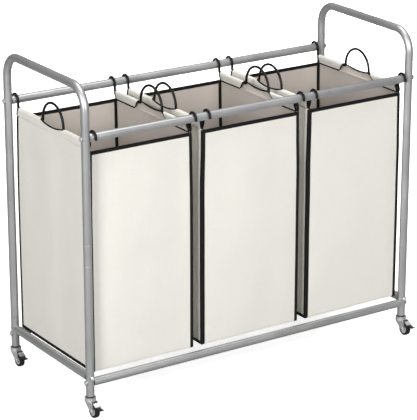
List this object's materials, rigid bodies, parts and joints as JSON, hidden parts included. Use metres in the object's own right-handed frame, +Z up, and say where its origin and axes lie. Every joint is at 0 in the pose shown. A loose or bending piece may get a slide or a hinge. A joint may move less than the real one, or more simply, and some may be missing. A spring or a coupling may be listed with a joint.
{
  "type": "laundry sorter on wheels",
  "caption": "Rolling laundry sorter: bolted steel tube frame with looped push handles on braked swivel casters, holding lift-off canvas bags side by side on wire rods.",
  "frame": {"origin": "on the floor under the middle of the frame", "axes": "+X to the right along the row of bags, +Y to the back, +Z up; the brake pedals point to the front, -Y"},
  "size_m": [0.9082, 0.4156, 0.7675],
  "materials": {
    "tube": "satin silver-grey coat",
    "insert_plastic": "matt",
    "washer_steel": "zinc",
    "bolt_steel": "bright zinc",
    "socket_plastic": "matt",
    "caster_steel": "bright zinc",
    "ball_steel": "polished",
    "hub_plastic": "matt",
    "tyre": "matt",
    "pedal_plastic": "matt",
    "canvas": "plain-weave canvas with black binding tape",
    "binding": "black woven tape",
    "wire": "gloss black coat"
  },
  "bodies": {
    "frame": {"left_handle_tube": "tube", "right_handle_tube": "tube", "front_left_lower_leg": "tube", "front_right_lower_leg": "tube", "back_left_lower_leg": "tube", "back_right_lower_leg": "tube", "top_front_rail": "tube", "top_back_rail": "tube", "bottom_front_rail": "tube", "bottom_back_rail": "tube", "left_side_rail": "tube", "right_side_rail": "tube", "rail_end_inserts": "insert_plastic", "saddle_washers": "washer_steel", "rail_bolts": "bolt_steel", "side_rail_bolts": "bolt_steel", "caster_sockets": "socket_plastic", "caster_stems": "caster_steel"},
    "front_left_swivel": {"front_left_fork": "caster_steel", "front_left_balls": "ball_steel", "front_left_pins": "bolt_steel"},
    "front_left_wheel": {"front_left_hub": "hub_plastic", "front_left_tyre": "tyre"},
    "front_left_brake": {"front_left_brake_plate": "caster_steel", "front_left_pedal": "pedal_plastic"},
    "front_right_swivel": {"front_right_fork": "caster_steel", "front_right_balls": "ball_steel", "front_right_pins": "bolt_steel"},
    "front_right_wheel": {"front_right_hub": "hub_plastic", "front_right_tyre": "tyre"},
    "front_right_brake": {"front_right_brake_plate": "caster_steel", "front_right_pedal": "pedal_plastic"},
    "back_left_swivel": {"back_left_fork": "caster_steel", "back_left_balls": "ball_steel", "back_left_pins": "bolt_steel"},
    "back_left_wheel": {"back_left_hub": "hub_plastic", "back_left_tyre": "tyre"},
    "back_left_brake": {"back_left_brake_plate": "caster_steel", "back_left_pedal": "pedal_plastic"},
    "back_right_swivel": {"back_right_fork": "caster_steel", "back_right_balls": "ball_steel", "back_right_pins": "bolt_steel"},
    "back_right_wheel": {"back_right_hub": "hub_plastic", "back_right_tyre": "tyre"},
    "back_right_brake": {"back_right_brake_plate": "caster_steel", "back_right_pedal": "pedal_plastic"},
    "left_bag": {"left_bag": "canvas", "left_bag_left_rod": "wire", "left_bag_right_rod": "wire"},
    "middle_bag": {"middle_bag": "canvas", "middle_bag_left_rod": "wire", "middle_bag_right_rod": "wire"},
    "right_bag": {"right_bag": "canvas", "right_bag_left_rod": "wire", "right_bag_right_rod": "wire"}
  },
  "joints": [
    {"name": "front_left_swivel_turn", "type": "hinge", "parent": "frame", "child": "front_left_swivel", "pos_m": [-0.44, -0.174, 0.0382], "axis": [0, 0, 1], "continuous": true},
    {"name": "front_left_wheel_spin", "type": "hinge", "parent": "front_left_swivel", "child": "front_left_wheel", "pos_m": [-0.44, -0.1907, 0.016], "axis": [1, 0, 0], "continuous": true},
    {"name": "front_left_brake_press", "type": "hinge", "parent": "front_left_swivel", "child": "front_left_brake", "pos_m": [-0.44, -0.19, 0.0346], "axis": [1, 0, 0], "range_deg": [0, 5]},
    {"name": "front_right_swivel_turn", "type": "hinge", "parent": "frame", "child": "front_right_swivel", "pos_m": [0.44, -0.174, 0.0382], "axis": [0, 0, 1], "continuous": true},
    {"name": "front_right_wheel_spin", "type": "hinge", "parent": "front_right_swivel", "child": "front_right_wheel", "pos_m": [0.44, -0.1907, 0.016], "axis": [1, 0, 0], "continuous": true},
    {"name": "front_right_brake_press", "type": "hinge", "parent": "front_right_swivel", "child": "front_right_brake", "pos_m": [0.44, -0.19, 0.0346], "axis": [1, 0, 0], "range_deg": [0, 5]},
    {"name": "back_left_swivel_turn", "type": "hinge", "parent": "frame", "child": "back_left_swivel", "pos_m": [-0.44, 0.174, 0.0382], "axis": [0, 0, 1], "continuous": true},
    {"name": "back_left_wheel_spin", "type": "hinge", "parent": "back_left_swivel", "child": "back_left_wheel", "pos_m": [-0.44, 0.1573, 0.016], "axis": [1, 0, 0], "continuous": true},
    {"name": "back_left_brake_press", "type": "hinge", "parent": "back_left_swivel", "child": "back_left_brake", "pos_m": [-0.44, 0.158, 0.0346], "axis": [1, 0, 0], "range_deg": [0, 5]},
    {"name": "back_right_swivel_turn", "type": "hinge", "parent": "frame", "child": "back_right_swivel", "pos_m": [0.44, 0.174, 0.0382], "axis": [0, 0, 1], "continuous": true},
    {"name": "back_right_wheel_spin", "type": "hinge", "parent": "back_right_swivel", "child": "back_right_wheel", "pos_m": [0.44, 0.1573, 0.016], "axis": [1, 0, 0], "continuous": true},
    {"name": "back_right_brake_press", "type": "hinge", "parent": "back_right_swivel", "child": "back_right_brake", "pos_m": [0.44, 0.158, 0.0346], "axis": [1, 0, 0], "range_deg": [0, 5]},
    {"name": "left_bag_lift", "type": "slide", "parent": "frame", "child": "left_bag", "axis": [0, 0, 1], "range_m": [0, 0.68]},
    {"name": "middle_bag_lift", "type": "slide", "parent": "frame", "child": "middle_bag", "axis": [0, 0, 1], "range_m": [0, 0.68]},
    {"name": "right_bag_lift", "type": "slide", "parent": "frame", "child": "right_bag", "axis": [0, 0, 1], "range_m": [0, 0.68]}
  ]
}
